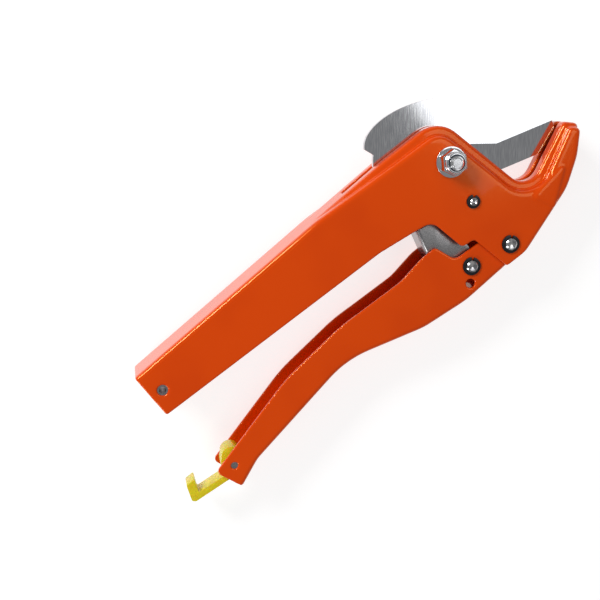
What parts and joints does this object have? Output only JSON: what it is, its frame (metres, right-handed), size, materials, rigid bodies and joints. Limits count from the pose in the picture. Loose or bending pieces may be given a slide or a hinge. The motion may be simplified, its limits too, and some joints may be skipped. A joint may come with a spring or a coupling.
{
  "type": "ratchet plastic pipe cutter",
  "caption": "Hand tool with a pressed-steel jaw and handle, a swinging toothed blade, a pivoted lower handle with a drive pawl, and a latch.",
  "frame": {"origin": "middle of the box's bottom, on the surface the tool lies on with its bolt head down", "axes": "+X along the upper handle towards the jaw, +Y from the lower handle to the upper one, +Z along the blade's pivot towards its nut"},
  "size_m": [0.233, 0.0906, 0.0377],
  "materials": {
    "orange_paint": "glossy enamel",
    "blade_steel": "ground stainless, polished bevel",
    "zinc_steel": "bright zinc plate",
    "bright_nut": "bright nickel",
    "nylon": "natural nylon",
    "black_clip": "black phosphate",
    "spring_steel": "oiled wire",
    "latch_plastic": "translucent yellow moulding"
  },
  "bodies": {
    "root": {"body_shell": "orange_paint", "pivot_bolt": "bright_nut", "bolt_washer": "zinc_steel", "pivot_nut": "bright_nut", "nut_ring": "nylon", "pivot_spacers": "zinc_steel", "blade_washers": "zinc_steel", "handle_pin": "zinc_steel", "handle_pin_sleeve": "zinc_steel", "handle_pin_clip": "black_clip", "handle_spring": "spring_steel", "stop_pin": "zinc_steel", "stop_pin_sleeves": "zinc_steel", "stop_pin_clip": "black_clip", "latch_keeper": "zinc_steel"},
    "blade": {"blade": "blade_steel"},
    "lower_handle": {"lower_handle": "orange_paint", "pawl_pin": "zinc_steel", "pawl_pin_clip": "black_clip", "pawl_spring": "spring_steel", "latch_pin": "zinc_steel"},
    "pawl": {"drive_pawl": "zinc_steel"},
    "latch": {"latch": "latch_plastic"}
  },
  "joints": [
    {"name": "blade_turn", "type": "hinge", "parent": "root", "child": "blade", "pos_m": [0.06074, 0.01458, 0.0163], "axis": [0, 0, 1], "range_deg": [-6, 52]},
    {"name": "handle_turn", "type": "hinge", "parent": "root", "child": "lower_handle", "pos_m": [0.06204, -0.03062, 0.0163], "axis": [0, 0, 1], "range_deg": [-12, 12], "stiffness_Nm_per_rad": 5},
    {"name": "pawl_turn", "type": "hinge", "parent": "lower_handle", "child": "pawl", "pos_m": [0.04294, -0.02862, 0.0163], "axis": [0, 0, 1], "range_deg": [-17.5, 17.5]},
    {"name": "latch_turn", "type": "hinge", "parent": "lower_handle", "child": "latch", "pos_m": [-0.09186, -0.03562, 0.0163], "axis": [0, 0, 1], "range_deg": [-54, 33]}
  ],
  "couplings": [
    {"joint": "pawl_turn", "follows": "handle_turn", "ratio": -1.45}
  ]
}
